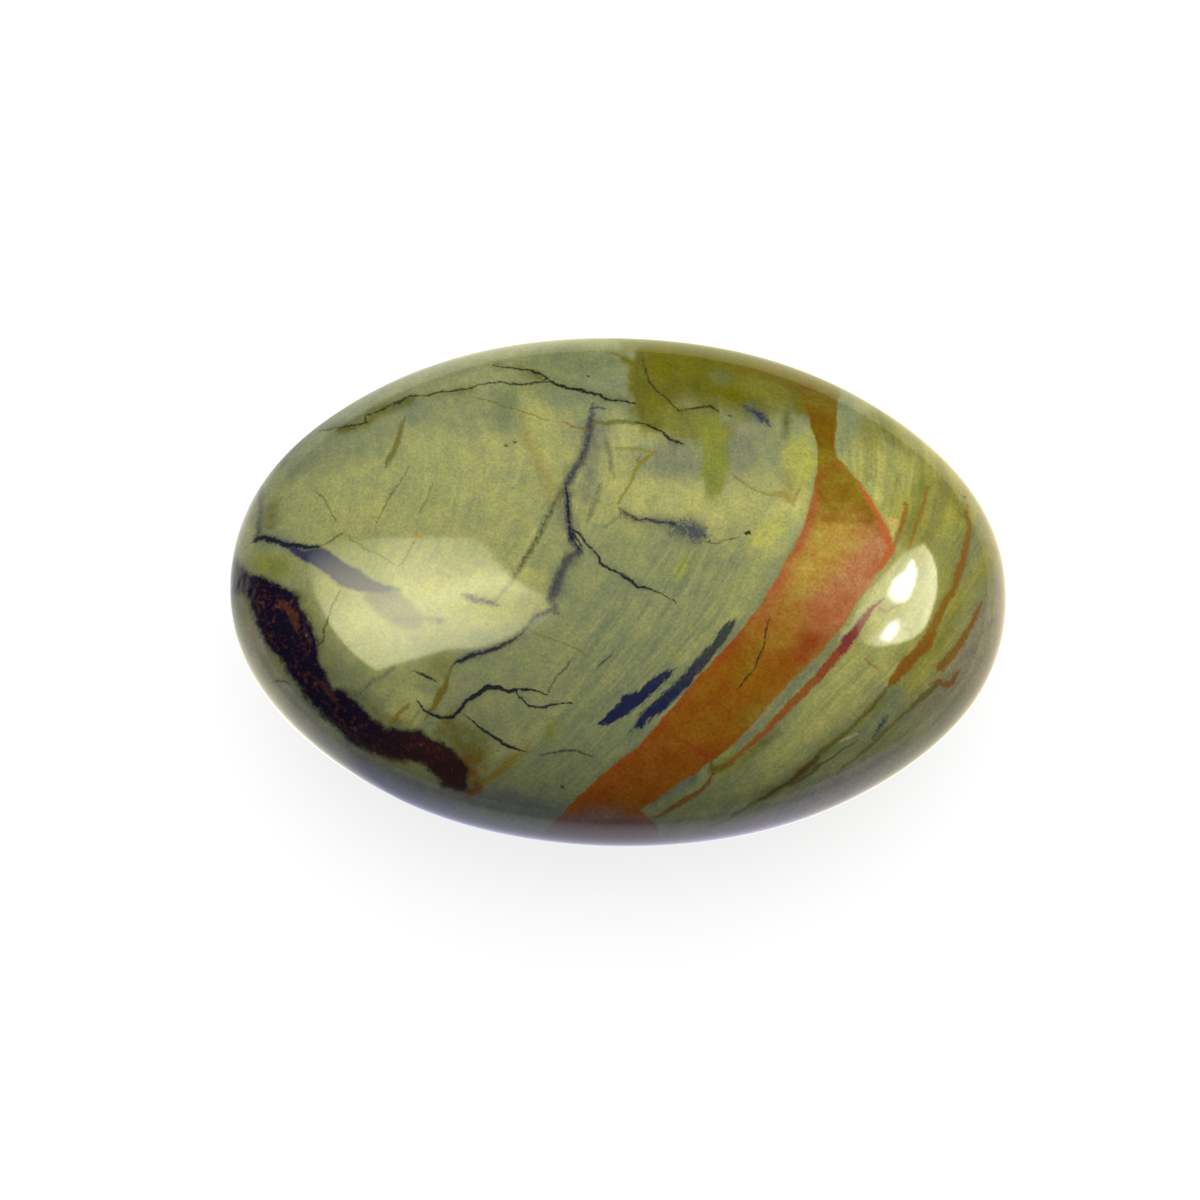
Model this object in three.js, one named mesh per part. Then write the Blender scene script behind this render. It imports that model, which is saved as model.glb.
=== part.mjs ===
// Oval palm stone of polished jasper, one solid piece.
// Millimetres, +Z up, +X along the stone's length. The origin is the middle of the small flat
// under the stone, where it rests on a table.

import * as THREE from "three";
import { mergeVertices } from "three/addons/utils/BufferGeometryUtils.js";

// Driving dimensions
const LENGTH = 65;
const WIDTH = 43;
const THICKNESS = 22;
const REST_FLAT_LENGTH = 13.6; // the flat is an oval of the outline's own proportions
const CROWN_POWER = 2.1; // 2 makes an ellipsoid, and more a fuller, more pillow-like crown

// The outline's departures from a true oval, as shares of its radius: hand grinding leaves them
const OUTLINE_WAVES = [
  { lobes: 3, share: 0.0012, phase: 0.6 },
  { lobes: 8, share: -0.002, phase: 0 },
];

// Facets
const SIDES = 84;
const CROWN_RINGS = 16;
const BELLY_RINGS = 15;

const flatShare = REST_FLAT_LENGTH / LENGTH; // of the outline's radius
const roundness = (share) => Math.sqrt(1 - share ** CROWN_POWER);
const halfThickness = THICKNESS / (1 + roundness(flatShare)); // of the round before the flat is cut
const girdleHeight = THICKNESS - halfThickness;

// How far out a ring lies, as a share of the outline, at an angle from the crown down to the girdle
const ringShare = (angle) => Math.sin(angle) ** (2 / CROWN_POWER);

// The stone's half section, from the middle of the rest flat out to the girdle and up to the crown
function sectionPoints() {
  const points = [new THREE.Vector2(0, 0)];
  const flatAngle = Math.asin(flatShare ** (CROWN_POWER / 2));
  for (let i = 0; i < BELLY_RINGS; i++) {
    const angle = THREE.MathUtils.lerp(flatAngle, Math.PI / 2, i / BELLY_RINGS);
    const height = girdleHeight - halfThickness * Math.cos(angle);
    points.push(new THREE.Vector2(ringShare(angle), i === 0 ? 0 : height));
  }
  for (let i = 0; i < CROWN_RINGS; i++) {
    const angle = (Math.PI / 2) * (1 - i / CROWN_RINGS);
    const height = girdleHeight + halfThickness * Math.cos(angle);
    points.push(new THREE.Vector2(ringShare(angle), height));
  }
  points.push(new THREE.Vector2(0, THICKNESS));
  return points;
}

// How much wider or narrower than a true oval the outline is, all round
function outlineFactor(angle) {
  return OUTLINE_WAVES.reduce(
    (sum, wave) => sum + wave.share * Math.cos(wave.lobes * angle + wave.phase),
    1,
  );
}

// A round of radius 1 is turned from the section, then spread to the oval
function stoneGeometry() {
  const turned = new THREE.LatheGeometry(sectionPoints(), SIDES);
  turned.rotateX(Math.PI / 2);
  turned.deleteAttribute("normal");
  turned.deleteAttribute("uv");
  const geometry = mergeVertices(turned, 1e-5);
  const places = geometry.getAttribute("position");
  for (let i = 0; i < places.count; i++) {
    const factor = outlineFactor(Math.atan2(places.getY(i), places.getX(i)));
    places.setX(i, places.getX(i) * factor * (LENGTH / 2));
    places.setY(i, places.getY(i) * factor * (WIDTH / 2));
  }
  centreOnFlat(geometry);
  geometry.computeVertexNormals();
  return geometry;
}

// Puts the origin under the middle of the stone's length and width
function centreOnFlat(geometry) {
  geometry.computeBoundingBox();
  const middle = geometry.boundingBox.getCenter(new THREE.Vector3());
  const size = geometry.boundingBox.getSize(new THREE.Vector3());
  geometry.translate(-middle.x, -middle.y, 0);
  geometry.scale(LENGTH / size.x, WIDTH / size.y, 1);
}

const jasper = new THREE.MeshStandardMaterial({
  color: new THREE.Color(0.5, 0.52, 0.32),
  roughness: 0.12,
  metalness: 0,
});

const palmStone = new THREE.Mesh(stoneGeometry(), jasper);
palmStone.name = "palm_stone";

const part = new THREE.Group();
part.add(palmStone);

export default part;
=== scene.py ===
# A polished palm stone of banded jasper on a pale table.
# Metres, in the imported part's frame. The markings are placed in pixels of the photograph, and
# laid on the stone as the camera made here sees it.
import math

import bpy
import numpy as np
from mathutils import Matrix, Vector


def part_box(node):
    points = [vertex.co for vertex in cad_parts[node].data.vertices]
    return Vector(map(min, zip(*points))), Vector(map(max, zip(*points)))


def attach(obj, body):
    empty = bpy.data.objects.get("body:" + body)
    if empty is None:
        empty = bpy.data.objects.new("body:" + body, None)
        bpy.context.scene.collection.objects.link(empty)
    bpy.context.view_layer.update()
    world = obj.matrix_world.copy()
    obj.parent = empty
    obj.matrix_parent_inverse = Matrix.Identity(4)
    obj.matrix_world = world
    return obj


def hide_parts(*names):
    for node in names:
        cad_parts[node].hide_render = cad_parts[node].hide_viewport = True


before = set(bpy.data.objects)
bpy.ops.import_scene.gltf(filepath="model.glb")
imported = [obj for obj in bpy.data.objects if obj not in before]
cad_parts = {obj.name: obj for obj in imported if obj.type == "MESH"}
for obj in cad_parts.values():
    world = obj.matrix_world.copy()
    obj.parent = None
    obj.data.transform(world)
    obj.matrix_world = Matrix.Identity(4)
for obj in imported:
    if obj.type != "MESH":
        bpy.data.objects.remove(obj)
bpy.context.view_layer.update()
lowCorner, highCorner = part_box("palm_stone")
print("frame loaded")

# The photograph: its size, where the stone's middle shows, how long the stone is in it and how it lies
photo = {
    "size": 1200,
    "middle": (618.3, 590.6),
    "stoneLength": 778,
    "fallToTheRight": 1.6,  # degrees
    "elevation": 80,  # degrees above the table
    "lens": 135,
    "sensor": 36,
}

stone = {
    "crownPower": 2.1,  # 2 makes an ellipsoid, more a fuller crown
    "flatShare": 13.6 / 65,  # the rest flat's length as a share of the stone's
    "outlineWaves": [(3, 0.0012, 0.6), (8, -0.002, 0.0)],  # lobes, share of the radius, phase
    "columns": 270,
    "rows": 180,
    "ringSlope": 1.16,  # spreads the rings evenly over the dome
    "waveHeight": 0.000016,  # what hand polishing leaves
    "waveCell": 0.010,
    "pitDepth": 0.00005,  # in the dark seam
    "pitCell": 0.00055,
    "flatBlend": 0.00004,
    "wearHeights": (0.0002, 0.002),  # it fades in between these, so that the rest flat stays true
}

# Colours of the rock, linear light, and a few tones that paint reflection and highlight onto it
tones = {
    "sage": (0.245, 0.265, 0.12),
    "lensSage": (0.345, 0.352, 0.13),
    "warmSage": (0.315, 0.295, 0.058),
    # Painted reflection: the two rim tones are lighter and greyer than the rock, for the pale band that
    # the polished rim mirrors
    "rimReflectionGrey": (0.3, 0.295, 0.25),
    "rimReflectionTan": (0.33, 0.295, 0.2),
    "mauve": (0.215, 0.112, 0.078),
    "secondSlate": (0.12, 0.11, 0.085),
    "pale": (0.375, 0.375, 0.125),
    "cream": (0.42, 0.415, 0.14),
    "bright": (0.49, 0.49, 0.16),
    "yellow": (0.41, 0.4, 0.08),
    "greyGreen": (0.19, 0.215, 0.115),
    "deepGreen": (0.135, 0.16, 0.07),
    "lavender": (0.2, 0.21, 0.125),
    "blueShade": (0.095, 0.12, 0.125),
    # Painted reflection: a cold blue-grey for the shaded table that the lower rim mirrors
    "coldRimReflection": (0.12, 0.135, 0.165),
    "veinHalo": (0.145, 0.15, 0.095),
    "veinGrey": (0.05, 0.05, 0.06),
    "veinNavy": (0.028, 0.028, 0.052),
    "veinOlive": (0.06, 0.064, 0.034),
    "veinBlue": (0.035, 0.055, 0.085),
    "ink": (0.01, 0.011, 0.022),
    "soot": (0.013, 0.014, 0.008),
    "olive": (0.13, 0.118, 0.0025),
    "oliveShade": (0.105, 0.105, 0.014),
    "oliveLight": (0.175, 0.175, 0.03),
    "oliveBrown": (0.125, 0.105, 0.014),
    "yellowOlive": (0.225, 0.19, 0.014),
    "moss": (0.205, 0.225, 0.034),
    "leaf": (0.29, 0.32, 0.05),
    "brownOlive": (0.15, 0.115, 0.009),
    "umber": (0.165, 0.09, 0.003),
    "umberDark": (0.085, 0.055, 0.016),
    "caramel": (0.25, 0.155, 0.011),
    "caramelDark": (0.225, 0.14, 0.011),
    "tawny": (0.27, 0.16, 0.014),
    "golden": (0.458, 0.285, 0.052),
    # Painted highlight: a bright orange glint painted into the colour
    "paintedGlint": (0.64, 0.42, 0.11),
    "amber": (0.37, 0.16, 0.028),
    "salmon": (0.5, 0.205, 0.088),
    "coral": (0.41, 0.122, 0.04),
    "brick": (0.29, 0.055, 0.012),
    "redEdge": (0.34, 0.062, 0.014),
    "brickLine": (0.3, 0.08, 0.01),
    "scarlet": (0.5, 0.12, 0.026),
    "crimson": (0.225, 0.028, 0.03),
    "bloodRed": (0.29, 0.042, 0.012),
    "redBrown": (0.19, 0.072, 0.01),
    "russet": (0.255, 0.088, 0.005),
    "brownLine": (0.245, 0.11, 0.006),
    "ochre": (0.29, 0.125, 0.006),
    "rust": (0.27, 0.086, 0.007),
    "tan": (0.29, 0.24, 0.07),
    # Partly a pale streak, partly a painted highlight
    "paleStreakAndHighlight": (0.52, 0.46, 0.26),
}


# Smooth random values between -1 and 1: a lattice of seeded numbers, blended between its corners with
# the 3t^2 - 2t^3 ease
def softNoise(points, cell, seed):
    side = 32  # lattice points
    shift = 500  # cells
    lattice = np.random.default_rng(seed).uniform(-1, 1, (side, side, side))
    spot = np.asarray(points, float) / cell + shift
    base = np.floor(spot).astype(int)
    ease = spot - base
    ease = ease * ease * (3 - 2 * ease)
    total = np.zeros(len(spot))
    for corner in np.ndindex(2, 2, 2):
        weight = np.prod(np.where(corner, ease, 1 - ease), axis=1)
        i, j, k = ((base + corner) % side).T
        total += weight * lattice[i, j, k]
    return total


def smoothStep(low, high, value):
    share = np.clip((value - low) / (high - low), 0, 1)
    return share * share * (3 - 2 * share)


length, width, thickness = highCorner - lowCorner
flatDrop = math.sqrt(1 - stone["flatShare"] ** stone["crownPower"])
halfThickness = thickness / (1 + flatDrop)
girdleHeight = highCorner.z - halfThickness
middle = np.array([0, 0, girdleHeight])
pixel = length / photo["stoneLength"]  # metres


# The camera looks down from elevation degrees above the table, turned about its own line of sight so
# that the stone's length falls to the right, and stands off centre by the stone's place in the picture
def makeCamera():
    tilt = math.radians(photo["elevation"])
    roll = math.radians(photo["fallToTheRight"])
    view = np.array([0, math.cos(tilt), -math.sin(tilt)])
    flatRight = np.array([1.0, 0, 0])
    flatUp = np.cross(flatRight, view)
    right = flatRight * math.cos(roll) + flatUp * math.sin(roll)
    up = flatUp * math.cos(roll) - flatRight * math.sin(roll)
    focal = photo["size"] * photo["lens"] / photo["sensor"]  # in pixels
    half = photo["size"] / 2
    offRight = (photo["middle"][0] - half) * pixel
    offUp = (half - photo["middle"][1]) * pixel
    place = middle - right * offRight - up * offUp - view * focal * pixel

    camera = bpy.data.objects.new("camera", bpy.data.cameras.new("camera"))
    bpy.context.scene.collection.objects.link(camera)
    camera.data.lens = photo["lens"]
    camera.data.sensor_width = photo["sensor"]
    camera.data.clip_start = 0.01
    axes = np.eye(4)
    axes[:3, 0] = right
    axes[:3, 1] = up
    axes[:3, 2] = -view
    axes[:3, 3] = place
    camera.matrix_world = Matrix(axes.tolist())
    bpy.context.scene.camera = camera
    return {"place": place, "view": view, "right": right, "up": up, "focal": focal}


camera = makeCamera()
print("camera made")


# Where points of the scene show in the photograph, in its pixels
def toPhoto(points):
    away = points - camera["place"]
    depth = away @ camera["view"]
    x = photo["size"] / 2 + (away @ camera["right"]) / depth * camera["focal"]
    y = photo["size"] / 2 - (away @ camera["up"]) / depth * camera["focal"]
    return x, y


# A square grid spread over a disc: the larger square coordinate is the distance out, and the ratio of
# the smaller to it is the angle round
def discGrid(columns, rows):
    a, b = np.meshgrid(np.linspace(-1, 1, columns), np.linspace(-1, 1, rows), indexing="ij")
    wide = np.abs(a) >= np.abs(b)
    out = np.where(wide, a, b)
    other = np.where(wide, b, a)
    ratio = np.divide(other, out, out=np.zeros_like(out), where=out != 0)
    angle = np.where(wide, ratio, 2 - ratio) * math.pi / 4
    return np.abs(out), np.where(out < 0, angle + math.pi, angle)


# Half of the stone: the distance out gives an angle down from the crown, whose sine, raised to
# 2 / crownPower, is the share of the outline, and whose cosine is the height above the girdle
def domePoints(out, angle, side):
    down = stone["ringSlope"] * out + (math.pi / 2 - stone["ringSlope"]) * out ** 3
    share = np.sin(down) ** (2 / stone["crownPower"])
    rim = np.ones_like(angle)
    for lobes, amount, phase in stone["outlineWaves"]:
        rim += amount * np.cos(lobes * angle + phase)
    x = share * rim * np.cos(angle)
    y = share * rim * np.sin(angle)
    z = girdleHeight + side * halfThickness * np.cos(down)
    blend = stone["flatBlend"]
    z = (z + np.sqrt(z * z + blend * blend)) / 2  # the rest flat, with a worn edge
    return np.stack([x * length / 2, y * width / 2, z], -1)


# Outward direction: the gradient of the ellipsoid that the stone is nearly
def outward(points):
    slope = (points - middle) / np.array([length / 2, width / 2, halfThickness]) ** 2
    return slope / np.linalg.norm(slope, axis=1, keepdims=True)


# Both domes share the ring at the girdle. Each square of the grid is cut along the diagonal that
# points to the middle of the dome, so that the squares at the four corners stay open
def stoneShell():
    columns, rows = stone["columns"], stone["rows"]
    out, angle = discGrid(columns, rows)
    crown = domePoints(out, angle, 1)
    belly = domePoints(out, angle, -1)
    upper = np.arange(columns * rows).reshape(columns, rows)
    inner = out < 1 - 1e-9
    lower = upper.copy()
    lower[inner] = columns * rows + np.arange(inner.sum())
    points = np.concatenate([crown.reshape(-1, 3), belly[inner]])

    def triangles(index):
        a, b = index[:-1, :-1].ravel(), index[1:, :-1].ravel()
        c, d = index[1:, 1:].ravel(), index[:-1, 1:].ravel()
        i, j = np.meshgrid(np.arange(columns - 1), np.arange(rows - 1), indexing="ij")
        rising = ((i - columns / 2 + 1) * (j - rows / 2 + 1) >= 0).ravel()[:, None]
        first = np.where(rising, np.stack([a, b, c], 1), np.stack([a, b, d], 1))
        second = np.where(rising, np.stack([a, c, d], 1), np.stack([b, c, d], 1))
        return np.concatenate([first, second])

    return points, np.concatenate([triangles(upper), triangles(lower)[:, ::-1]])


points, faces = stoneShell()
print("shell worked out:", len(points), "points,", len(faces), "triangles")


# The rock's own drawing coordinates. On the side that the camera sees they are the photograph's pixels.
# Past the edge of that view the layers dip, so the drawing slides across the layers with depth, and
# wanders, which gives the underside bands and veins of its own
dip = {
    "slide": (105, 88),  # pixels
    "wander": 46,
    "wanderCell": 0.011,
    "ragged": 1.1,  # pixels, everywhere
    "raggedCell": 0.0013,
    "deepest": 0.011,
}


def rockPlane(points):
    x, y = toPhoto(points)
    squares = np.array([length / 2, width / 2, halfThickness]) ** 2
    edgePlane = camera["view"] / squares
    below = (points - middle) @ edgePlane / np.linalg.norm(edgePlane)
    deep = np.clip(below, 0, None) / dip["deepest"]
    slideX, slideY = dip["slide"]
    x = x + deep * (slideX + dip["wander"] * softNoise(points, dip["wanderCell"], seed=11))
    y = y + deep * (slideY + dip["wander"] * softNoise(points, dip["wanderCell"], seed=12))
    x = x + dip["ragged"] * softNoise(points, dip["raggedCell"], seed=13)
    y = y + dip["ragged"] * softNoise(points, dip["raggedCell"], seed=14)
    return x, y, deep


rockX, rockY, rockDeep = rockPlane(points)


farAway = 1e3  # pixels, for points that no line reaches


# How far each point lies from a path, on which side, and how far along it: the nearest place on each
# straight stretch is found by projection, and the nearest stretch counts
def pathField(x, y, path, margin=16):
    path = np.array(path, float)
    stretch = np.diff(path, axis=0)
    lengths = np.hypot(stretch[:, 0], stretch[:, 1])
    reached = np.concatenate([[0], np.cumsum(lengths)]) / lengths.sum()
    gap = np.full(x.shape, farAway)
    side = np.ones(x.shape)
    along = np.zeros(x.shape)
    low, high = path.min(0) - margin, path.max(0) + margin
    near = np.flatnonzero((x > low[0]) & (x < high[0]) & (y > low[1]) & (y < high[1]))
    for k, (stepX, stepY) in enumerate(stretch):
        offX, offY = x[near] - path[k, 0], y[near] - path[k, 1]
        share = np.clip((offX * stepX + offY * stepY) / lengths[k] ** 2, 0, 1)
        distance = np.hypot(offX - share * stepX, offY - share * stepY)
        closer = distance < gap[near]
        spot = near[closer]
        gap[spot] = distance[closer]
        side[spot] = np.where(stepX * offY[closer] - stepY * offX[closer] < 0, -1, 1)
        along[spot] = reached[k] + share[closer] * (reached[k + 1] - reached[k])
    return gap, side, along


# Where a line's half width begins to fall away, how fast and over how far, and what it is without a
# line, in pixels. A line of even width tapers at its ends, by the share of its length.
lineFall = {
    "outside": 2.2,
    "steepness": 3,
    "over": 12,
    "none": -50,
    "taper": (-0.1, 0.2),
}


# A family of lines as three numbers a point: the signed distance to the nearest line, that line's half
# width there, which falls away fast a little outside it, and its strength. Its tone is given apart.
def lineField(x, y, lines):
    offset = np.full(x.shape, farAway)
    reach = np.full(x.shape, lineFall["none"], float)
    strength = np.zeros(x.shape)
    best = np.full(x.shape, -farAway)
    colour = np.tile(tones[lines[0][0]], (len(x), 1))
    for tone, widths, amount, path in lines:
        gap, side, along = pathField(x, y, path)
        widths = np.atleast_1d(widths).astype(float)
        half = np.interp(along, np.linspace(0, 1, len(widths)), widths)
        if len(widths) == 1:
            half = half * smoothStep(*lineFall["taper"], np.minimum(along, 1 - along))
        closer = half - gap > best
        best = np.where(closer, half - gap, best)
        offset = np.where(closer, side * gap, offset)
        outside = np.clip(gap - half - lineFall["outside"], 0, lineFall["over"])
        reach = np.where(closer, half - lineFall["steepness"] * outside, reach)
        strength = np.where(closer, amount, strength)
        colour[closer] = tones[tone]
    return np.stack([offset, reach, strength], 1), colour


# How deep inside a closed outline each point lies, below 0 outside: the distance to the outline, with
# the sign from how many of its stretches a line to the right crosses
def areaField(x, y, outline):
    closed = list(outline) + [outline[0]]
    gap, _, _ = pathField(x, y, closed)
    inside = np.zeros(x.shape, bool)
    for (x0, y0), (x1, y1) in zip(closed[:-1], closed[1:]):
        if y0 == y1:
            continue
        spans = (y0 > y) != (y1 > y)
        inside ^= spans & (x < x0 + (y - y0) * (x1 - x0) / (y1 - y0))
    deepest = 40  # pixels
    return np.clip(np.where(inside, gap, -gap), -deepest, deepest)


# How much of each point a soft oval covers, fading out round its edge, which noise unsettles
def ovalCover(x, y, centre, radii, turn, amount, soft, edge):
    turn = math.radians(turn)
    offX, offY = x - centre[0], y - centre[1]
    lengthwise = (offX * math.cos(turn) - offY * math.sin(turn)) / radii[0]
    crosswise = (offX * math.sin(turn) + offY * math.cos(turn)) / radii[1]
    return amount * smoothStep(1 + soft, 1 - soft, np.hypot(lengthwise, crosswise) + edge)


# Soft ovals of colour, laid one over another
def paintPatches(x, y, ground, patches, seed):
    colour = np.tile(tones[ground], (len(x), 1))
    coarse, fine = 0.0016, 0.0006
    edge = 0.20 * softNoise(points, coarse, seed) + 0.14 * softNoise(points, fine, seed + 1)
    for tone, centre, radii, turn, amount, soft in patches:
        cover = ovalCover(x, y, centre, radii, turn, amount, soft, edge)
        colour += (tones[tone] - colour) * cover[:, None]
    return colour


# Soft stains along paths, fading sideways as a bell curve, and patchy
def paintStains(x, y, colour, stains, seed):
    coarse, fine = 0.0012, 0.0005
    patchy = 0.8 + 0.5 * softNoise(points, coarse, seed) + 0.4 * softNoise(points, fine, seed + 1)
    for tone, radius, amount, path in stains:
        gap, _, along = pathField(x, y, path, 3 * radius)
        ends = smoothStep(-0.02, 0.10, np.minimum(along, 1 - along))
        cover = np.clip(amount * patchy * ends * np.exp(-(gap / radius) ** 2), 0, 1)
        colour += (tones[tone] - colour) * cover[:, None]


# The broad orange band runs from the top edge down to the lower left, between these two edges
bandLeft = [
    (796, 300), (801, 395), (813, 428), (817, 446), (817, 470), (814, 491), (803, 530), (763, 601),
    (744, 627), (638, 746), (616, 762), (596, 779), (580, 796), (564, 810), (530, 850), (440, 980),
]
bandRight = [
    (600, 1000), (664, 870), (658, 826), (640, 811), (675, 786), (698, 772), (733, 745), (782, 691),
    (798, 677), (836, 635), (875, 577), (894, 553), (889, 535), (880, 517), (860, 483), (837, 457),
    (834, 446), (837, 424), (838, 400), (842, 380), (850, 300),
]

areas = {
    "band": bandLeft + bandRight,
    "seam": [
        (190, 505), (228, 548), (236, 562), (248, 573), (276, 582), (299, 594), (301, 605), (314, 629),
        (318, 642), (321, 664), (333, 690), (345, 692), (371, 719), (384, 727), (401, 730), (418, 729),
        (455, 751), (463, 762), (469, 776), (470, 789), (456, 792), (443, 787), (424, 764), (410, 760),
        (390, 760), (350, 744), (300, 692), (287, 667), (274, 655), (264, 641), (255, 624), (250, 606),
        (244, 596), (236, 594), (218, 604), (180, 600),
    ],
    "slate": [
        (289, 547), (305, 550), (322, 548), (373, 580), (402, 590), (386, 592), (358, 591), (343, 587),
        (319, 568), (304, 562), (293, 555),
    ],
    "smudge": [
        (668, 520), (694, 521), (704, 529), (711, 538), (698, 542), (686, 536), (673, 533),
    ],
    "featherLong": [
        (736, 620), (734, 630), (692, 684), (667, 708), (641, 727), (627, 734), (645, 711), (686, 672),
        (694, 661), (712, 643), (724, 626), (731, 620),
    ],
    "featherShort": [
        (678, 665), (670, 677), (638, 708), (609, 725), (598, 725), (608, 712), (619, 703), (624, 694),
        (639, 691), (648, 681), (662, 671),
    ],
}

# Lines: tone, half width in pixels, strength and points. A list of half widths is spread evenly along
# the line. Lines of one family keep clear of each other, so that their fields don't mix.
cracks = [
    ("umberDark", [0.8, 1.3, 1.5, 1.1], 0.7, [(856, 740), (830, 759), (808, 774), (790, 787)]),
    ("soot", [0.7, 0.9, 0.8, 1.1, 0.8, 0.9, 0.9, 0.8], 0.85, [
        (320, 431), (367, 423), (365, 415), (380, 411), (411, 396), (429, 395), (489, 383), (523, 384),
        (553, 382)]),
    ("soot", [0.7, 1.1, 1.1, 1.6, 1.6, 1.2, 0.8], 0.95, [
        (494, 366), (533, 372), (544, 376), (554, 383), (588, 392), (603, 398), (634, 403)]),
    ("olive", 0.8, 0.6, [(471, 395), (552, 422)]),
    ("brownLine", 1.1, 0.7, [(561, 422), (590, 431)]),
    ("ink", 0.9, 0.7, [(590, 408), (597, 406), (605, 408)]),
    ("ink", [0.7, 1.1, 0.9, 1.6, 1.1, 1.6, 1.2, 0.8, 0.5], 0.95, [
        (572, 527), (594, 551), (600, 561), (609, 568), (622, 574), (639, 586), (654, 590), (676, 603)]),
    ("ink", [0.8, 1.2, 1.5, 1.7, 2.2, 2.5, 2.6, 1.9, 2.1, 1.3, 0.8], 0.95, [
        (417, 701), (424, 709), (441, 718), (453, 717), (468, 699), (489, 687), (499, 688), (508, 692),
        (530, 689), (547, 694)]),
    ("veinNavy", 1.3, 0.6, [(546, 692), (573, 658)]),
    ("ink", [0.8, 1.3, 1.2, 1.4, 0.9, 1.1], 0.9, [
        (515, 692), (521, 700), (529, 706), (546, 708), (551, 704), (571, 703)]),
    ("ink", [0.5, 1.1, 1.3, 1.8, 1.8, 0.8], 0.95, [(464, 714), (480, 728), (503, 744), (524, 751)]),
    ("ink", 1.1, 0.7, [(538, 754), (573, 750), (592, 756)]),
    ("ink", [0.5, 1.3, 1.2, 0.5], 0.9, [(413, 670), (437, 682)]),
    ("ink", 0.9, 0.75, [(597, 668), (603, 660), (611, 654)]),
    ("soot", [0.6, 0.9, 1, 0.9, 0.7], 0.75, [(643, 361), (648, 379), (679, 411)]),
    ("soot", [0.6, 0.9, 1.3, 1.5, 0.8], 0.8, [(679, 411), (711, 406), (719, 412)]),
    ("soot", [0.6, 0.9, 1.5, 1.2, 1.6, 1.4, 0.8], 0.9, [(636, 422), (653, 427), (670, 439), (684, 444)]),
    ("soot", 0.9, 0.55, [(704, 541), (715, 543), (738, 537)]),
    ("ink", [0.8, 1.4, 1.3, 1.5, 1], 0.8, [(566, 486), (570, 531), (579, 549)]),
    ("ink", [0.8, 1.3, 1.5, 1.4, 1.6], 0.85, [(526, 629), (514, 640), (500, 647), (457, 662)]),
    ("ink", [0.6, 1.1, 1, 0.7], 0.6, [(622, 511), (636, 519), (674, 525)]),
    ("ink", [1.6, 2.4, 2.2, 2, 1.2], 0.9, [(256, 541), (264, 537), (287, 546), (318, 547)]),
    ("ink", 3, 0.9, [(746, 533), (750, 534)]),
    ("olive", 0.8, 0.5, [(731, 472), (751, 488), (773, 496)]),
    ("soot", [0.6, 1.1, 0.7, 1.2, 0.6, 1, 0.5], 0.8, [
        (770, 620), (766, 630), (766, 640), (755, 668), (738, 690)]),
    ("soot", [0.6, 0.8, 1.1, 1, 0.5], 0.45, [(409, 466), (396, 490), (387, 500), (376, 527)]),
    ("soot", 0.9, 0.45, [(314, 492), (323, 498), (338, 524)]),
    ("umberDark", 0.9, 0.7, [(322, 547), (345, 532)]),
    ("brownOlive", 0.9, 0.6, [(345, 533), (365, 548), (400, 567)]),
    ("brownOlive", 0.9, 0.7, [(400, 566), (417, 539)]),
    ("umberDark", [0.7, 1, 0.9, 1.4], 0.85, [(340, 590), (332, 605), (323, 640), (317, 646)]),
    ("ink", 1, 0.7, [(272, 682), (281, 680), (290, 684)]),
    ("ink", [0.8, 1.6, 1.2, 1.6, 0.8], 0.9, [(905, 820), (930, 790), (940, 770), (985, 730), (1020, 712)]),
    ("ink", [0.8, 1.8, 2.2, 1.2, 0.8], 0.9, [(660, 905), (690, 890), (705, 868), (815, 812)]),
    ("ink", 1, 0.8, [(1040, 640), (1018, 668), (1022, 700), (985, 760)]),
]

specks = [(504, 444), (513, 441), (587, 376), (728, 415), (561, 786), (963, 496)]
cracks += [("ink", 1.5, 0.7, [(x, y), (x + 3, y + 1)]) for x, y in specks]

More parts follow.
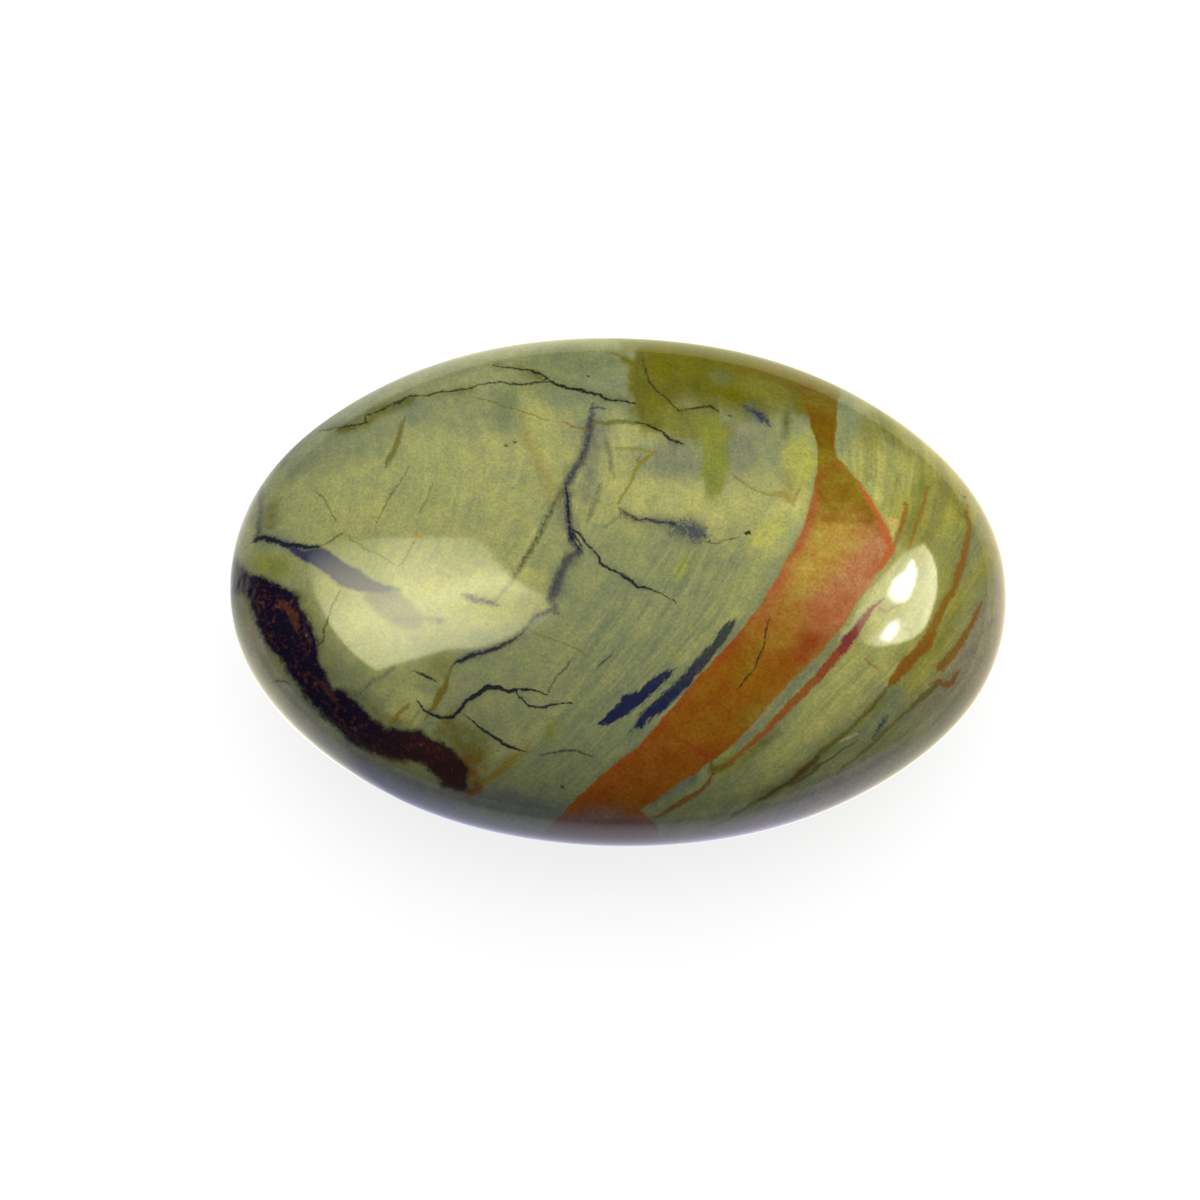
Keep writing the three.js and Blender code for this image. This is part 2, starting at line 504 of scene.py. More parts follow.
# Soft veins with grainy edges
veins = [
    ("veinGrey", [1.6, 3.2, 3.6, 3.6, 3.4, 3], 0.95, [(593, 406), (585, 448), (580, 463), (566, 485)]),
    ("veinNavy", [2.6, 3.2, 3, 3.2, 3.2, 2.8], 0.95, [(566, 485), (570, 530), (574, 544), (581, 551)]),
    ("veinGrey", [2.4, 4.8, 4, 5, 4.2, 2.6], 0.85, [
        (580, 550), (570, 555), (557, 582), (550, 600), (556, 610)]),
    ("veinGrey", [2.4, 3, 2.8, 2.4], 0.9, [(554, 607), (536, 617), (526, 628)]),
    ("veinNavy", [1.8, 2.2, 2.2, 2.2, 2.4, 2.2, 1.8], 0.9, [(526, 628), (511, 642), (457, 662)]),
    ("veinNavy", [3, 3.8, 3.8, 2.2], 1, [(466, 597), (496, 604)]),
    ("veinOlive", [1.2, 2, 2.2, 2.4, 2.2], 0.9, [(560, 491), (530, 553), (519, 570)]),
    ("veinOlive", [1.4, 1.8, 1], 0.6, [(518, 571), (497, 600)]),
    ("veinGrey", 1.4, 0.6, [(605, 436), (610, 454), (613, 478)]),
    ("veinGrey", 2, 0.6, [(600, 484), (597, 498), (587, 522)]),
    ("veinNavy", [1, 1.5, 1.4, 1.2, 1.8], 0.8, [(621, 510), (626, 516), (636, 519), (673, 524)]),
    ("veinGrey", 1.4, 0.5, [(620, 512), (612, 522), (602, 528)]),
    ("veinNavy", [2.4, 2.2, 1.8, 2.4, 2.4, 1.4], 1, [
        (255, 541), (262, 537), (275, 540), (287, 546), (316, 547)]),
    ("veinNavy", [1, 1.2, 1.2, 2], 0.75, [(261, 488), (259, 534)]),
    ("veinNavy", [1, 2.6, 4, 2.4], 0.9, [(745, 406), (756, 413), (768, 423)]),
    ("veinGrey", [0.6, 1.6, 0.8], 0.6, [(394, 668), (377, 680)]),
    ("veinGrey", 1.2, 0.5, [(378, 676), (356, 696)]),
    ("veinBlue", [0.8, 1.8, 1.2, 0.8], 1, [(887, 716), (873, 738)]),
]

ochreLines = [
    ("oliveBrown", [1.2, 2.2, 3, 3.4, 1.8], 0.75, [(404, 419), (397, 443), (387, 465)]),
    ("oliveBrown", 1.1, 0.5, [(433, 484), (419, 514)]),
    ("golden", 2.6, 0.8, [(412, 538), (422, 537)]),
    ("yellowOlive", [1.8, 2.4, 1.6, 1.4, 1.4], 0.85, [(654, 452), (640, 461), (619, 503)]),
    ("yellowOlive", 1.5, 0.6, [(612, 447), (656, 452)]),
    ("brownLine", 1.6, 0.7, [(637, 460), (640, 460)]),
    ("olive", [1.6, 2.2, 2.4, 2.4], 0.75, [(590, 420), (606, 424), (616, 422), (636, 422)]),
    ("tawny", [2.2, 3.4, 2.8, 2.2, 2.2], 0.5, [(773, 494), (784, 495), (793, 504), (799, 490)]),
    ("oliveLight", 1.1, 0.75, [(530, 631), (579, 650), (593, 659)]),
    ("umberDark", [0.8, 1, 1], 0.7, [(454, 663), (445, 682)]),
    ("brownOlive", [1.4, 4, 3.8, 1.8, 1], 0.85, [(447, 677), (444, 688), (426, 718)]),
    ("caramelDark", 1.8, 0.8, [(390, 725), (409, 703)]),
    ("caramelDark", 1.2, 0.6, [(408, 726), (420, 708)]),
    ("tawny", 1.6, 0.7, [(851, 476), (862, 485)]),
    # Painted highlight: a short bright glint in the band
    ("paintedGlint", 3.6, 0.9, [(888, 519), (898, 523)]),
    ("tawny", [0.8, 1.4, 1.8, 1.4], 0.55, [(476, 787), (492, 777), (520, 752)]),
    # Pale streaks, partly painted highlight: the first lies by the right window's reflection
    ("paleStreakAndHighlight", [0.6, 1.4, 0.8], 0.6, [(870, 604), (838, 640)]),
    ("paleStreakAndHighlight", [0.6, 1.8, 1], 0.6, [(841, 742), (857, 733)]),
]

redLines = [
    ("scarlet", [1.6, 2.2, 2.6, 3.4, 4.4, 4, 2.5], 0.85, [
        (859, 484), (878, 516), (887, 534), (892, 549), (889, 556), (880, 566)]),
    ("crimson", [1, 2.6, 4, 5.2, 5], 0.95, [(882, 599), (872, 609), (840, 651)]),
    ("bloodRed", [4.6, 4.2, 3.8], 0.9, [(839, 652), (818, 677)]),
    ("brickLine", [3.8, 3.8, 4, 3.8, 3.4, 2.8, 2.2, 1.6], 0.9, [(818, 678), (765, 731), (729, 764)]),
    ("redBrown", [1.6, 2.4, 3.2, 2.8, 1.8, 1], 0.85, [
        (712, 774), (707, 784), (701, 791), (670, 810), (650, 818)]),
    ("bloodRed", [1.6, 2.8, 3.4, 1.6], 0.6, [(682, 741), (693, 748), (715, 757)]),
    ("crimson", 1.4, 0.5, [(878, 603), (886, 612), (893, 607), (901, 604)]),
    ("crimson", 1.4, 0.6, [(903, 627), (912, 630)]),
    ("brickLine", 0.9, 0.6, [(864, 659), (879, 670)]),
]

brownLines = [
    ("redBrown", [2, 4, 4, 2], 0.35, [(281, 602), (291, 614), (297, 629)]),
    ("redBrown", 3, 0.2, [(318, 680), (328, 690), (338, 704)]),
    ("brownLine", [1.4, 2.8, 4, 3.8, 3.6, 4, 5.4], 0.85, [
        (967, 506), (969, 534), (958, 576), (950, 596), (931, 631)]),
    ("russet", [4, 6.2, 6.6, 6, 4.6], 0.9, [(934, 630), (925, 644), (892, 681)]),
    ("brownLine", [1.8, 3, 3.8, 4.2, 3.6], 0.85, [(981, 603), (965, 637), (941, 668)]),
    ("russet", [1.6, 3.4, 3, 1.8, 1.2], 0.8, [
        (958, 672), (951, 682), (944, 685), (937, 680), (930, 683)]),
    ("russet", [2.4, 3, 3, 2], 0.7, [(906, 505), (904, 521), (895, 546)]),
    ("brownLine", [1.8, 2.4, 2.4, 1.8, 1.2], 0.7, [(928, 488), (920, 516), (909, 546)]),
    ("brownOlive", [2.6, 3, 2.8, 2.2], 0.9, [(729, 764), (713, 772), (711, 760)]),
    ("russet", [2, 5, 7, 6, 3], 0.85, [
        (1060, 560), (1040, 620), (1012, 662), (945, 745), (850, 840)]),
]

oliveLines = [
    ("oliveBrown", [1.4, 1.6, 1.4, 1.8, 2.2], 0.85, [(886, 688), (872, 707), (835, 742), (817, 755)]),
    ("umberDark", [2.2, 2.6, 2.6, 2, 1.6], 0.9, [(818, 757), (788, 784), (759, 801)]),
    ("oliveShade", [1.6, 1.4, 1], 0.8, [(758, 802), (712, 826)]),
    ("oliveBrown", [2.4, 2.8, 1.8, 1.8, 1.6, 1.2, 0.8], 0.75, [(937, 683), (867, 749), (836, 774)]),
    ("olive", 1.6, 0.7, [(612, 352), (634, 363)]),
]

# Soft stains beside the lines, one of them partly a painted highlight: tone, reach in pixels, strength and
# points
groundStains = [
    ("oliveShade", 5, 0.85, [(320, 432), (366, 424), (374, 412), (420, 396)]),
    ("oliveShade", 5, 0.6, [(400, 402), (480, 387)]),
    ("oliveShade", 5, 0.7, [(490, 366), (520, 370), (548, 379)]),
    ("deepGreen", 6, 0.7, [(545, 378), (610, 399), (634, 403)]),
    ("lavender", 11, 0.9, [(602, 415), (600, 440), (578, 510)]),
    ("veinHalo", 8, 1, [(592, 410), (586, 450), (570, 478), (568, 505), (571, 528), (578, 548)]),
    ("veinHalo", 8, 0.8, [(582, 550), (566, 566), (552, 598)]),
    ("veinHalo", 5, 0.6, [(528, 630), (511, 643), (456, 663)]),
    ("veinHalo", 4, 0.5, [(572, 527), (600, 561), (632, 582), (654, 590)]),
    ("veinHalo", 5, 0.55, [(418, 702), (441, 718), (455, 716), (468, 699), (489, 687), (520, 691)]),
    ("veinHalo", 6, 0.65, [(620, 511), (634, 519), (675, 525)]),
    ("veinHalo", 12, 0.8, [(674, 527), (688, 530), (704, 538)]),
    ("oliveShade", 6, 0.65, [(636, 421), (655, 427), (672, 440), (690, 444), (702, 440)]),
    ("oliveShade", 5, 0.6, [(648, 379), (680, 411), (700, 408), (722, 414)]),
    ("blueShade", 9, 0.55, [(744, 404), (766, 422)]),
    ("lavender", 12, 0.6, [(748, 424), (762, 430), (752, 440)]),
    ("oliveShade", 4, 0.75, [(787, 408), (786, 440)]),
    ("tan", 7, 0.55, [(786, 468), (790, 490), (782, 504)]),
    ("veinHalo", 6, 0.6, [(262, 490), (258, 538)]),
    ("blueShade", 7, 0.7, [(254, 543), (264, 538), (298, 548)]),
    ("oliveShade", 7, 0.6, [(270, 496), (272, 512), (268, 530)]),
    ("secondSlate", 4, 1, [(394, 618), (446, 621)]),
    ("greyGreen", 9, 0.6, [(566, 500), (532, 572)]),
    ("brownOlive", 13, 0.9, [(436, 722), (456, 734), (472, 750), (480, 768)]),
    ("brownOlive", 8, 0.8, [(470, 752), (480, 770), (474, 788)]),
    ("oliveShade", 16, 0.5, [(444, 716), (470, 732), (486, 756)]),
    ("brownOlive", 5, 0.6, [(474, 788), (503, 769), (516, 754)]),
    ("moss", 6, 0.8, [(556, 718), (546, 742)]),
    ("yellowOlive", 6, 0.6, [(530, 746), (504, 770)]),
    ("oliveShade", 6, 0.45, [(284, 584), (304, 600), (338, 686)]),
    ("oliveShade", 6, 0.5, [(340, 688), (364, 700), (380, 718), (412, 726)]),
    ("blueShade", 4, 0.6, [(284, 664), (300, 694), (326, 722)]),
    ("veinBlue", 8, 0.7, [(236, 556), (240, 572), (238, 592)]),
    ("lavender", 5, 0.8, [(868, 606), (816, 668), (768, 713)]),
    # Partly pale ground, partly a painted highlight: the soft edge of the right window's reflection
    ("bright", 4, 1, [(884, 590), (870, 600), (840, 636)]),
    ("blueShade", 4, 0.8, [(752, 732), (734, 750)]),
    ("leaf", 5, 0.8, [(736, 745), (718, 762)]),
    ("moss", 6, 0.7, [(768, 742), (716, 780)]),
    ("blueShade", 5, 0.9, [(700, 774), (648, 804)]),
    ("brownOlive", 4, 0.7, [(742, 752), (712, 772)]),
    ("redBrown", 6, 0.9, [(462, 752), (474, 770), (477, 788), (462, 797)]),
    ("redBrown", 4, 0.7, [(362, 750), (388, 762), (412, 763)]),
    ("greyGreen", 7, 0.55, [(640, 680), (586, 722)]),
    ("oliveLight", 7, 0.6, [(938, 474), (966, 520)]),
    ("oliveLight", 5, 0.6, [(890, 690), (848, 733), (790, 780)]),
    ("oliveShade", 6, 0.7, [(820, 760), (800, 776), (748, 804)]),
    ("oliveShade", 5, 0.7, [(782, 728), (746, 758)]),
    ("oliveLight", 5, 0.6, [(872, 400), (884, 424), (916, 462)]),
    ("oliveLight", 3, 0.6, [(902, 470), (888, 508)]),
    ("bright", 6, 0.8, [(866, 478), (880, 500), (893, 530), (897, 556)]),
    ("oliveLight", 4, 0.6, [(926, 470), (920, 500), (908, 536)]),
    ("tan", 5, 0.6, [(948, 470), (934, 520), (930, 560)]),
    ("oliveLight", 4, 0.6, [(962, 600), (930, 660)]),
    ("moss", 4, 0.6, [(926, 600), (914, 630), (896, 660)]),
]

# Soft colour of the ground, some of it painted rim reflection and a painted highlight: tone, middle,
# radii, turn in degrees, strength, softness
groundPatches = [
    ("lensSage", (430, 512), (165, 96), 8, 0.85, 0.45),
    ("greyGreen", (350, 440), (70, 24), 24, 0.6, 0.45),
    ("lavender", (414, 411), (24, 10), 0, 0.7, 0.45),
    ("deepGreen", (576, 362), (50, 14), -2, 0.6, 0.45),
    ("greyGreen", (440, 410), (110, 18), -8, 0.45, 0.5),
    ("deepGreen", (530, 400), (38, 26), 20, 0.65, 0.5),
    ("oliveShade", (376, 414), (22, 6), 14, 0.5, 0.6),
    ("greyGreen", (318, 446), (44, 14), 40, 0.8, 0.5),
    ("greyGreen", (602, 386), (36, 16), 6, 0.55, 0.35),
    ("greyGreen", (556, 400), (34, 9), 4, 0.75, 0.4),
    ("pale", (552, 455), (22, 66), 24, 0.75, 0.45),
    ("tan", (546, 478), (8, 60), 24, 0.55, 0.6),
    ("pale", (520, 540), (22, 50), 28, 0.6, 0.4),
    ("cream", (450, 602), (80, 32), 6, 0.75, 0.5),
    ("cream", (352, 620), (50, 24), -50, 0.65, 0.5),
    ("secondSlate", (392, 606), (34, 14), -38, 0.8, 0.25),
    ("pale", (410, 674), (26, 16), 20, 0.7, 0.5),
    ("bright", (409, 706), (22, 20), 30, 0.6, 0.3),
    ("lensSage", (372, 672), (40, 20), -40, 0.6, 0.5),
    ("pale", (622, 500), (26, 60), 20, 0.6, 0.45),
    ("cream", (636, 436), (30, 12), 0, 0.75, 0.35),
    ("cream", (690, 498), (66, 24), -6, 0.85, 0.4),
    ("cream", (760, 508), (56, 34), 30, 0.6, 0.45),
    ("bright", (782, 524), (18, 34), -32, 0.85, 0.45),
    ("lavender", (672, 462), (26, 20), -30, 0.75, 0.45),
    ("lavender", (740, 446), (16, 26), 15, 0.85, 0.4),
    ("yellow", (801, 460), (18, 28), 5, 0.9, 0.4),
    ("yellow", (768, 532), (24, 12), 30, 0.6, 0.5),
    ("pale", (752, 576), (14, 50), -38, 0.65, 0.6),
    ("leaf", (682, 567), (6, 14), -30, 0.6, 0.6),
    ("greyGreen", (560, 770), (120, 26), 16, 0.55, 0.5),
    # Painted reflection: cold blue-grey patches along the lower rim, for the shaded table it mirrors
    ("coldRimReflection", (500, 800), (80, 12), -10, 0.6, 0.6),
    ("coldRimReflection", (390, 778), (60, 10), -28, 0.6, 0.6),
    # Painted reflection: a lighter, greyer rim on the left and lower left
    ("rimReflectionTan", (256, 644), (14, 50), -30, 0.95, 0.5),
    ("rimReflectionGrey", (300, 716), (64, 12), -48, 0.7, 0.6),
    ("greyGreen", (350, 690), (30, 18), -50, 0.6, 0.6),
    ("moss", (274, 566), (18, 13), 0, 0.75, 0.6),
    ("yellowOlive", (440, 666), (16, 13), 20, 0.4, 0.6),
    ("olive", (735, 368), (112, 34), -12, 0.98, 0.2),
    ("olive", (654, 386), (27, 42), 0, 0.92, 0.22),
    ("oliveShade", (641, 385), (7, 36), 0, 0.8, 0.3),
    ("oliveShade", (684, 388), (22, 12), 30, 0.6, 0.5),
    ("oliveLight", (694, 424), (42, 15), -12, 0.9, 0.35),
    ("oliveShade", (706, 398), (20, 10), -10, 0.8, 0.5),
    ("moss", (715, 452), (14, 48), 0, 0.9, 0.22),
    ("olive", (744, 404), (40, 16), -14, 0.8, 0.5),
    ("brownOlive", (786, 380), (50, 17), -22, 0.85, 0.45),
    ("oliveLight", (770, 394), (30, 10), -22, 0.6, 0.5),
    ("deepGreen", (721, 378), (12, 9), -10, 0.45, 0.6),
    ("brownOlive", (808, 400), (12, 22), 14, 0.8, 0.45),
    ("warmSage", (916, 520), (90, 150), -20, 0.9, 0.3),
    ("pale", (938, 560), (10, 34), -22, 0.45, 0.6),
    ("greyGreen", (972, 545), (12, 34), -22, 0.7, 0.5),
    ("warmSage", (940, 660), (40, 60), 36, 0.7, 0.5),
    ("greyGreen", (848, 410), (9, 28), 8, 0.5, 0.4),
    ("pale", (853, 460), (12, 22), -30, 0.75, 0.5),
    ("oliveLight", (878, 424), (16, 26), -38, 0.65, 0.55),
    ("oliveLight", (904, 446), (20, 12), -38, 0.65, 0.6),
    ("pale", (892, 470), (24, 30), -20, 0.65, 0.5),
    # Partly pale ground, partly a painted highlight under the right window's reflection
    ("cream", (886, 590), (36, 40), 0, 0.65, 0.6),
    ("pale", (846, 688), (90, 24), 44, 0.95, 0.5),
    # Painted reflection: a lighter rim on the right
    ("rimReflectionTan", (976, 640), (14, 56), -22, 0.7, 0.6),
    ("lensSage", (900, 750), (70, 12), 40, 0.6, 0.6),
    # Painted reflection: a lighter, greyer rim at the bottom
    ("rimReflectionGrey", (820, 796), (110, 14), 26, 0.85, 0.6),
    ("pale", (800, 740), (80, 14), 42, 0.6, 0.6),
    # Painted reflection: a lighter rim on the lower right
    ("rimReflectionTan", (950, 690), (70, 20), 56, 0.7, 0.6),
    ("olive", (940, 830), (70, 34), 40, 0.8, 0.5),
    ("cream", (1010, 760), (60, 24), 45, 0.6, 0.6),
    ("olive", (780, 900), (90, 26), 35, 0.6, 0.6),
]

# Soft colour inside the band, then stains along it
bandPatches = [
    ("umber", (824, 416), (30, 46), 0, 0.97, 0.4),
    ("brownOlive", (822, 376), (40, 30), -14, 0.95, 0.6),
    ("yellowOlive", (826, 458), (16, 8), 0, 0.6, 0.6),
    ("caramelDark", (846, 492), (44, 30), -8, 0.98, 0.25),
    ("caramel", (850, 504), (26, 12), -8, 0.7, 0.6),
    ("golden", (826, 552), (48, 34), 30, 0.95, 0.4),
    ("golden", (800, 588), (34, 28), 45, 0.6, 0.7),
    ("salmon", (872, 566), (26, 48), -30, 0.9, 0.7),
    ("salmon", (842, 600), (44, 24), 45, 0.85, 0.7),
    ("coral", (826, 616), (36, 18), 45, 0.65, 0.7),
    ("brick", (804, 649), (20, 13), 40, 0.95, 0.5),
    ("amber", (768, 630), (36, 26), 50, 0.6, 0.7),
    ("golden", (770, 648), (40, 11), 50, 0.35, 0.7),
    ("brick", (776, 672), (24, 10), 45, 0.4, 0.7),
    ("ochre", (738, 690), (70, 34), 45, 0.75, 0.7),
    ("yellowOlive", (748, 716), (22, 7), 45, 0.5, 0.6),
    ("rust", (692, 732), (50, 22), 42, 0.55, 0.7),
    ("brick", (602, 786), (40, 12), 36, 0.4, 0.7),
    ("mauve", (610, 842), (110, 30), 0, 0.97, 0.3),
]

bandStains = [
    ("brick", 4, 0.6, [(820, 466), (815, 494)]),
    ("coral", 7, 0.95, [(816, 490), (812, 508), (797, 547)]),
    ("coral", 11, 0.95, [(800, 540), (770, 594), (750, 622)]),
    ("redEdge", 4.5, 0.8, [(757, 608), (740, 634), (702, 680)]),
    ("redEdge", 4, 0.6, [(704, 676), (638, 748), (604, 774)]),
    ("caramelDark", 7, 0.9, [(766, 640), (738, 676)]),
    ("caramelDark", 5, 0.35, [(736, 700), (702, 730)]),
    ("tan", 4, 0.35, [(822, 648), (800, 673), (748, 723)]),
    ("brick", 3, 0.6, [(714, 757), (708, 766), (706, 778)]),
    ("umber", 3, 0.45, [(816, 520), (836, 519), (874, 524)]),
]

# Where the layers show as streaks: strength, middle, radii, turn and softness
streakPatches = [
    (1, (655, 655), (150, 90), 48, 0.5),
    (0.8, (570, 750), (140, 50), 14, 0.5),
    (0.9, (880, 680), (150, 90), 46, 0.5),
    (1, (920, 490), (100, 130), -20, 0.4),
    (0.45, (500, 480), (240, 130), 10, 0.4),
    (0.8, (700, 900), (400, 110), 20, 0.4),
]


# Paints the drawing onto the stone's points as attributes, which the material reads
def paintAttributes(mesh, x, y, deep):
    def put(name, kind, channel, values):
        layer = mesh.attributes.new(name, kind, "POINT")
        layer.data.foreach_set(channel, np.ascontiguousarray(values, np.float32).ravel())

    # The ground colour also carries painted reflection along the rim and a painted highlight by the right
    # window
    ground = paintPatches(x, y, "sage", groundPatches, seed=21)
    paintStains(x, y, ground, groundStains, seed=23)
    put("groundTone", "FLOAT_VECTOR", "vector", ground)
    band = paintPatches(x, y, "rust", bandPatches, seed=31)
    paintStains(x, y, band, bandStains, seed=33)
    put("bandTone", "FLOAT_VECTOR", "vector", band)
    for name in ("band", "seam", "slate", "smudge"):
        put(name, "FLOAT", "value", areaField(x, y, areas[name]))
    both = np.maximum(areaField(x, y, areas["featherLong"]), areaField(x, y, areas["featherShort"]))
    put("feathers", "FLOAT", "value", both)
    for name, lines in lineFamilies.items():
        field, colour = lineField(x, y, lines)
        put(name, "FLOAT_VECTOR", "vector", field)
        put(name + "Tone", "FLOAT_VECTOR", "vector", colour)

    streaks = np.zeros(len(x))
    edge = 0.15 * softNoise(points, 0.002, seed=35)
    for amount, centre, radii, turn, soft in streakPatches:
        streaks = np.maximum(streaks, ovalCover(x, y, centre, radii, turn, amount, soft, edge))
    put("streaks", "FLOAT", "value", streaks)

    # The layers follow the band's left edge, slid sideways: across them, along them, and down
    edgeX, edgeY = zip(*bandLeft)
    across = x - np.interp(y, edgeY, edgeX)
    along = (x - y) * math.sqrt(0.5)
    put("layers", "FLOAT_VECTOR", "vector", np.stack([across, along, deep * 100], 1))


lineFamilies = {
    "oliveLines": oliveLines,
    "brownLines": brownLines,
    "ochreLines": ochreLines,
    "redLines": redLines,
    "veins": veins,
    "cracks": cracks,
}


# Hand polishing leaves the surface very slightly uneven, and the dark seam keeps fine pits
def wear(points, x, y):
    swell = stone["waveHeight"] * softNoise(points, stone["waveCell"], seed=41)
    inSeam = smoothStep(0, 6, areaField(x, y, areas["seam"]))
    pits = softNoise(points, stone["pitCell"], seed=42)
    sunk = stone["pitDepth"] * inSeam * smoothStep(0.1, 0.8, pits)
    offFlat = smoothStep(*stone["wearHeights"], points[:, 2])
    return points + outward(points) * ((swell - sunk) * offFlat)[:, None]


def makeStone():
    worn = wear(points, rockX, rockY)
    mesh = bpy.data.meshes.new("palmStone")
    mesh.vertices.add(len(worn))
    mesh.vertices.foreach_set("co", worn.astype(np.float32).ravel())
    mesh.loops.add(faces.size)
    mesh.loops.foreach_set("vertex_index", faces.astype(np.int32).ravel())
    mesh.polygons.add(len(faces))
    mesh.polygons.foreach_set("loop_start", np.arange(0, faces.size, 3, dtype=np.int32))
    mesh.update(calc_edges=True)
    mesh.validate()
    mesh.shade_smooth()
    paintAttributes(mesh, rockX, rockY, rockDeep)
    piece = bpy.data.objects.new("palmStone", mesh)
    bpy.context.scene.collection.objects.link(piece)
    return piece


palmStone = makeStone()
print("stone made and painted")


# Adds a node, with its links and values by input name or number
def addNode(tree, kind, inputs=None, **settings):
    made = tree.nodes.new("ShaderNode" + kind)
    for name, value in settings.items():
        setattr(made, name, value)
    for socket, value in (inputs or {}).items():
        if isinstance(value, bpy.types.NodeSocket):
            tree.links.new(value, made.inputs[socket])
        else:
            made.inputs[socket].default_value = value
    return made


def emptyTree(owner):
    owner.use_nodes = True
    owner.node_tree.nodes.clear()
    return owner.node_tree


def attribute(tree, name, output="Color"):
    return addNode(tree, "Attribute", attribute_name=name).outputs[output]


def calculate(tree, operation, *values):
    return addNode(tree, "Math", dict(enumerate(values)), operation=operation).outputs[0]


def split(tree, vector):
    return addNode(tree, "SeparateXYZ", {0: vector}).outputs


def rgba(colour):
    return (*colour, 1)


# One colour over another by a share, or multiplied by it. The node's colour sockets are 6, 7 and 2.
def mixColour(tree, share, under, over, kind="MIX"):
    inputs = {0: share, 6: under, 7: over}
    return addNode(tree, "Mix", inputs, data_type="RGBA", blend_type=kind).outputs[2]


# A smooth ramp from 0 at low to 1 at high, times the top value
def ramp(tree, value, low, high, top=1):
    inputs = {"Value": value, "From Min": low, "From Max": high, "To Min": 0, "To Max": top}
    return addNode(tree, "MapRange", inputs, interpolation_type="SMOOTHSTEP").outputs[0]


# Noise from -size to size, or nearly
def swing(tree, value, size):
    return calculate(tree, "MULTIPLY_ADD", value, size * 4, size * -2)


# The rock's noises: cells a metre, detail and roughness
textures = {
    "cloud": (380, 3, 0.6),
    "mottle": (900, 4, 0.6),
    "wobble": (900, 3, 0.6),
    "seamGrain": (2600, 3, 0.7),
    "fine": (3400, 2, 0.7),
    "grain": (4600, 2, 0.6),
}

# Noises drawn out along the layers: cells a pixel across them, along them and down, detail and roughness
layerTextures = {
    "broad": ((0.075, 0.009, 0.05), 3, 0.6),
    "thin": ((0.26, 0.024, 0.05), 3, 0.7),
    "torn": ((0.34, 0.11, 0.1), 3, 0.6),
}

# Tints that multiply a colour where a noise is low and where it is high, and for each noise how far off
# its middle they are full. The band gets redder and more golden.
tints = {
    "ground": ((0.92, 0.94, 0.98), (1.08, 1.06, 0.99), {"cloud": 0.16, "mottle": 0.18, "fine": 0.22}),
    "streaks": ((0.85, 0.89, 0.94), (1.15, 1.11, 1.05), {"broad": 0.16, "thin": 0.22}),
    "band": ((0.95, 0.82, 0.74), (1.05, 1.18, 1.18), {"cloud": 0.24, "mottle": 0.26, "fine": 0.3}),
}

# Edges of the areas: the depths in pixels where they begin and are full, how much they cover there, and
# the noises that push their edges about, in pixels
areaEdges = {
    "band": (-1.6, 1.6, 1, {"mottle": 2}),
    "slate": (-2.6, 2.6, 0.95, {"mottle": 2}),
    "smudge": (-4, 6, 0.95, {"fine": 7, "mottle": 4}),
    "feathers": (-1.6, 1.8, 0.97, {"torn": 3}),
    "seam": (-4.5, 3.5, 1, {"mottle": 3.5, "fine": 1.6}),
}

# How soft the edges of each family of lines are, and how ragged, in pixels
lineEdges = {
    "oliveLines": (1.8, 1.2),
    "brownLines": (2, 1.6),
    "ochreLines": (1.5, 1),
    "redLines": (1.8, 1.4),
    "veins": (4.4, 3.4),
    "cracks": (0.9, 1),
}

finish = {
    "roughness": 0.07,
    "seamRoughness": 0.06,  # added in the seam
    "refraction": 1.54,
    "slate": (0.028, 0.03, 0.09),
    "smudge": (0.07, 0.078, 0.078),
    "grain": 0.2,
    "lineWobble": 1.8,  # pixels
}

# The navy streaks are greyer at their upper ends
feathers = {
    "navy": (0.009, 0.013, 0.06),
    "grey": (0.045, 0.05, 0.045),
    "greyAlong": (-40, 60),  # pixels along the layers, from all navy to all grey
    "mixed": 30,  # pixels
}

# The dark seam is near black, browner to the right, with grains of other tones in patches of its middle
seam = {
    "black": (0.006, 0.004, 0.017),
    "umber": (0.03, 0.012, 0.01),
    "umberAcross": (-340, -180),  # pixels across the layers
    "middle": (2, 11),  # pixels from the edge
    "patches": (0.44, 0.6),  # where the cloud noise is high
    "patchPush": 0.12,
    "grains": [  # tone, where the grain noise begins to show it and shows it fully, and strength
        ((0.06, 0.016, 0.018), 0.52, 0.68, 1),
        ((0.14, 0.055, 0.03), 0.66, 0.8, 1),
        ((0.36, 0.22, 0.13), 0.78, 0.86, 0.9),
    ],
}


def rockNoises(tree):
    def noise(place, scale, detail, roughness):
        inputs = {"Vector": place, "Scale": scale, "Detail": detail, "Roughness": roughness}
        return addNode(tree, "TexNoise", inputs).outputs[0]

    place = addNode(tree, "TexCoord").outputs["Object"]
    layers = attribute(tree, "layers", "Vector")
    rock = {name: noise(place, *texture) for name, texture in textures.items()}
    for name, (stretch, detail, roughness) in layerTextures.items():
        drawn = addNode(tree, "Mapping", {"Vector": layers, "Scale": stretch}).outputs[0]
        rock[name] = noise(drawn, 1, detail, roughness)
    return rock


# Colour multiplied by one tint where each noise is low and another where it is high
def tinted(tree, colour, rock, kind):
    low, high, reaches = tints[kind]
    for name, reach in reaches.items():
        share = ramp(tree, rock[name], 0.5 - reach, 0.5 + reach)
        tint = mixColour(tree, share, rgba(low), rgba(high))
        colour = mixColour(tree, 1, colour, tint, "MULTIPLY")
    return colour


# An area's share: its depth, pushed about by noise, on a soft step
def areaCover(tree, name, rock):
    low, high, top, pushes = areaEdges[name]
    depth = attribute(tree, name, "Fac")
    for texture, size in pushes.items():
        depth = calculate(tree, "ADD", depth, swing(tree, rock[texture], size))
    return ramp(tree, depth, low, high, top)


